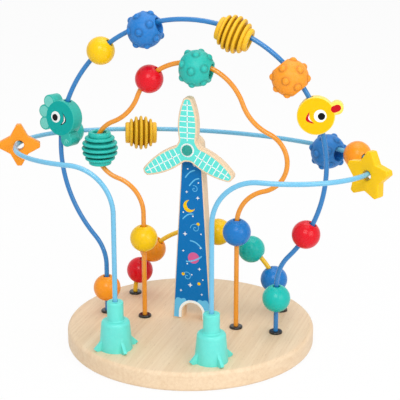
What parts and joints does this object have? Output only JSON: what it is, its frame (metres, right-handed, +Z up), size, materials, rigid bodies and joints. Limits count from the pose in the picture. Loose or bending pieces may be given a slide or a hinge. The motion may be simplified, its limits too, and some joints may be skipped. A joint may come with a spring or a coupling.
{
  "type": "bead maze",
  "caption": "Toy bead maze: bent coloured wires with sliding beads, stars and flat animal beads on a round wooden board, and a tower with a spinning propeller.",
  "frame": {"origin": "centre of the board's underside", "axes": "+X to the right seen from the propeller's side, +Y to the back, +Z up"},
  "size_m": [0.3542, 0.22, 0.2952],
  "materials": {
    "board_wood": "satin",
    "tower_wood": "printed front, satin sides",
    "propeller_wood": "printed front, satin sides",
    "axle_plastic": "gloss",
    "screw_steel": "satin",
    "arch_enamel": "gloss",
    "wave_enamel": "gloss",
    "low_enamel": "gloss",
    "loop_enamel": "gloss",
    "grommet_plastic": "gloss",
    "socket_plastic": "satin",
    "lacquer_red": "gloss",
    "lacquer_orange": "gloss",
    "lacquer_yellow": "gloss",
    "lacquer_green": "gloss",
    "lacquer_blue": "gloss",
    "silicone_blue": "matte",
    "silicone_orange": "matte",
    "silicone_teal": "matte",
    "silicone_yellow": "matte",
    "fish_wood": "gloss with print",
    "chick_wood": "gloss with print",
    "star_orange": "gloss",
    "star_yellow": "gloss"
  },
  "bodies": {
    "frame": {"base_board": "board_wood", "tower_panel": "tower_wood", "tower_screws": "screw_steel", "propeller_washer": "board_wood", "propeller_axle": "axle_plastic", "axle_nut": "screw_steel", "arch_wire": "arch_enamel", "wave_wire": "wave_enamel", "low_wire": "low_enamel", "loop_wire": "loop_enamel", "wire_grommets": "grommet_plastic", "socket_left": "socket_plastic", "socket_right": "socket_plastic", "socket_screws": "screw_steel"},
    "propeller": {"propeller": "propeller_wood"},
    "arch_orange_bead": {"arch_orange_bead": "lacquer_orange"},
    "arch_fish_bead": {"arch_fish_bead": "fish_wood"},
    "arch_yellow_bead": {"arch_yellow_bead": "lacquer_yellow"},
    "arch_blue_knobbly_bead": {"arch_blue_knobbly_bead": "silicone_blue"},
    "arch_yellow_ribbed_bead": {"arch_yellow_ribbed_bead": "silicone_yellow"},
    "arch_orange_knobbly_bead": {"arch_orange_knobbly_bead": "silicone_orange"},
    "arch_chick_bead": {"arch_chick_bead": "chick_wood"},
    "arch_red_bead": {"arch_red_bead": "lacquer_red"},
    "arch_green_bead": {"arch_green_bead": "lacquer_green"},
    "wave_yellow_bead": {"wave_yellow_bead": "lacquer_yellow"},
    "wave_teal_ribbed_bead": {"wave_teal_ribbed_bead": "silicone_teal"},
    "wave_red_bead": {"wave_red_bead": "lacquer_red"},
    "wave_teal_knobbly_bead": {"wave_teal_knobbly_bead": "silicone_teal"},
    "wave_blue_bead": {"wave_blue_bead": "lacquer_blue"},
    "low_red_bead": {"low_red_bead": "lacquer_red"},
    "low_orange_bead": {"low_orange_bead": "lacquer_orange"},
    "low_yellow_bead": {"low_yellow_bead": "lacquer_yellow"},
    "low_green_bead": {"low_green_bead": "lacquer_green"},
    "low_blue_bead": {"low_blue_bead": "lacquer_blue"},
    "loop_orange_star": {"loop_orange_star": "star_orange"},
    "loop_green_bead": {"loop_green_bead": "lacquer_green"},
    "loop_yellow_ribbed_bead": {"loop_yellow_ribbed_bead": "silicone_yellow"},
    "loop_blue_knobbly_bead": {"loop_blue_knobbly_bead": "silicone_blue"},
    "loop_orange_bead": {"loop_orange_bead": "lacquer_orange"},
    "loop_yellow_star": {"loop_yellow_star": "star_yellow"}
  },
  "joints": [
    {"name": "propeller_spin", "type": "hinge", "parent": "frame", "child": "propeller", "pos_m": [0, -0.0035, 0.178], "axis": [0, -1, 0], "continuous": true},
    {"name": "arch_red_bead_travel", "type": "hinge", "parent": "frame", "child": "arch_red_bead", "pos_m": [0, -0.002, 0.1695], "axis": [0, -1, 0], "range_deg": [-5.5, 30]},
    {"name": "arch_chick_bead_travel", "type": "hinge", "parent": "frame", "child": "arch_chick_bead", "pos_m": [0, -0.002, 0.1695], "axis": [0, -1, 0], "range_deg": [-7, 0.6]},
    {"name": "arch_orange_knobbly_bead_travel", "type": "hinge", "parent": "frame", "child": "arch_orange_knobbly_bead", "pos_m": [0, -0.002, 0.1695], "axis": [0, -1, 0], "range_deg": [-0.5, 10.8]},
    {"name": "arch_yellow_ribbed_bead_travel", "type": "hinge", "parent": "frame", "child": "arch_yellow_ribbed_bead", "pos_m": [0, -0.002, 0.1695], "axis": [0, -1, 0], "range_deg": [-2, 17.5]},
    {"name": "arch_blue_knobbly_bead_travel", "type": "hinge", "parent": "frame", "child": "arch_blue_knobbly_bead", "pos_m": [0, -0.002, 0.1695], "axis": [0, -1, 0], "range_deg": [-5.6, 2]},
    {"name": "arch_yellow_bead_travel", "type": "hinge", "parent": "frame", "child": "arch_yellow_bead", "pos_m": [0, -0.002, 0.1695], "axis": [0, -1, 0], "range_deg": [-5.4, 14]},
    {"name": "arch_fish_bead_travel", "type": "hinge", "parent": "frame", "child": "arch_fish_bead", "pos_m": [0, -0.002, 0.1695], "axis": [0, -1, 0], "range_deg": [-4.6, 2.8]},
    {"name": "wave_teal_ribbed_bead_travel", "type": "hinge", "parent": "frame", "child": "wave_teal_ribbed_bead", "pos_m": [-0.05961, -0.002, 0.1717], "axis": [0, -1, 0], "range_deg": [-28, 35]},
    {"name": "wave_red_bead_travel", "type": "hinge", "parent": "frame", "child": "wave_red_bead", "pos_m": [0, -0.002, 0.203], "axis": [0, -1, 0], "range_deg": [-2.9, 8]},
    {"name": "wave_teal_knobbly_bead_travel", "type": "hinge", "parent": "frame", "child": "wave_teal_knobbly_bead", "pos_m": [0, -0.002, 0.203], "axis": [0, -1, 0], "range_deg": [-39, 16]},
    {"name": "low_blue_bead_travel", "type": "hinge", "parent": "frame", "child": "low_blue_bead", "pos_m": [0, 0.049, 0.017], "axis": [0, -1, 0], "range_deg": [-11.5, 0.8]},
    {"name": "low_green_bead_travel", "type": "hinge", "parent": "frame", "child": "low_green_bead", "pos_m": [0, 0.049, 0.017], "axis": [0, -1, 0], "range_deg": [-7, 7]},
    {"name": "low_yellow_bead_travel", "type": "hinge", "parent": "frame", "child": "low_yellow_bead", "pos_m": [0, 0.049, 0.017], "axis": [0, -1, 0], "range_deg": [-1, 26]},
    {"name": "low_orange_bead_travel", "type": "hinge", "parent": "frame", "child": "low_orange_bead", "pos_m": [0, 0.049, 0.017], "axis": [0, -1, 0], "range_deg": [-11, 0.3]},
    {"name": "low_red_bead_travel", "type": "hinge", "parent": "frame", "child": "low_red_bead", "pos_m": [0, 0.049, 0.017], "axis": [0, -1, 0], "range_deg": [-1, 6.5]},
    {"name": "loop_orange_star_travel", "type": "hinge", "parent": "frame", "child": "loop_orange_star", "pos_m": [-0.08229, 0.0014, 0.17152], "axis": [0, -0.0523, -0.9986], "range_deg": [-19.5, 25]},
    {"name": "loop_green_bead_travel", "type": "hinge", "parent": "frame", "child": "loop_green_bead", "pos_m": [-0.08229, 0.0014, 0.17152], "axis": [0, -0.0523, -0.9986], "range_deg": [-12, 2.5]},
    {"name": "loop_yellow_ribbed_bead_travel", "type": "hinge", "parent": "frame", "child": "loop_yellow_ribbed_bead", "pos_m": [0, -0.10242, 0.17696], "axis": [0, -0.0523, -0.9986], "range_deg": [-7.2, 14]},
    {"name": "loop_blue_knobbly_bead_travel", "type": "hinge", "parent": "frame", "child": "loop_blue_knobbly_bead", "pos_m": [0, -0.10242, 0.17696], "axis": [0, -0.0523, -0.9986], "range_deg": [-25, 0.6]},
    {"name": "loop_orange_bead_travel", "type": "hinge", "parent": "frame", "child": "loop_orange_bead", "pos_m": [0.08229, 0.0014, 0.17152], "axis": [0, 0.0523, 0.9986], "range_deg": [-12, 2.5]},
    {"name": "loop_yellow_star_travel", "type": "hinge", "parent": "frame", "child": "loop_yellow_star", "pos_m": [0.08229, 0.0014, 0.17152], "axis": [0, 0.0523, 0.9986], "range_deg": [-19.5, 25]},
    {"name": "arch_orange_bead_travel", "type": "slide", "parent": "frame", "child": "arch_orange_bead", "axis": [0, 0, 1], "range_m": [-0.009, 0.01]},
    {"name": "arch_green_bead_travel", "type": "slide", "parent": "frame", "child": "arch_green_bead", "axis": [0, 0, 1], "range_m": [-0.018, 0.0012]},
    {"name": "wave_yellow_bead_travel", "type": "slide", "parent": "frame", "child": "wave_yellow_bead", "axis": [0, 0, 1], "range_m": [-0.06, 0.011]},
    {"name": "wave_blue_bead_travel", "type": "slide", "parent": "frame", "child": "wave_blue_bead", "axis": [0, 0, 1], "range_m": [-0.0745, 0.001]}
  ]
}
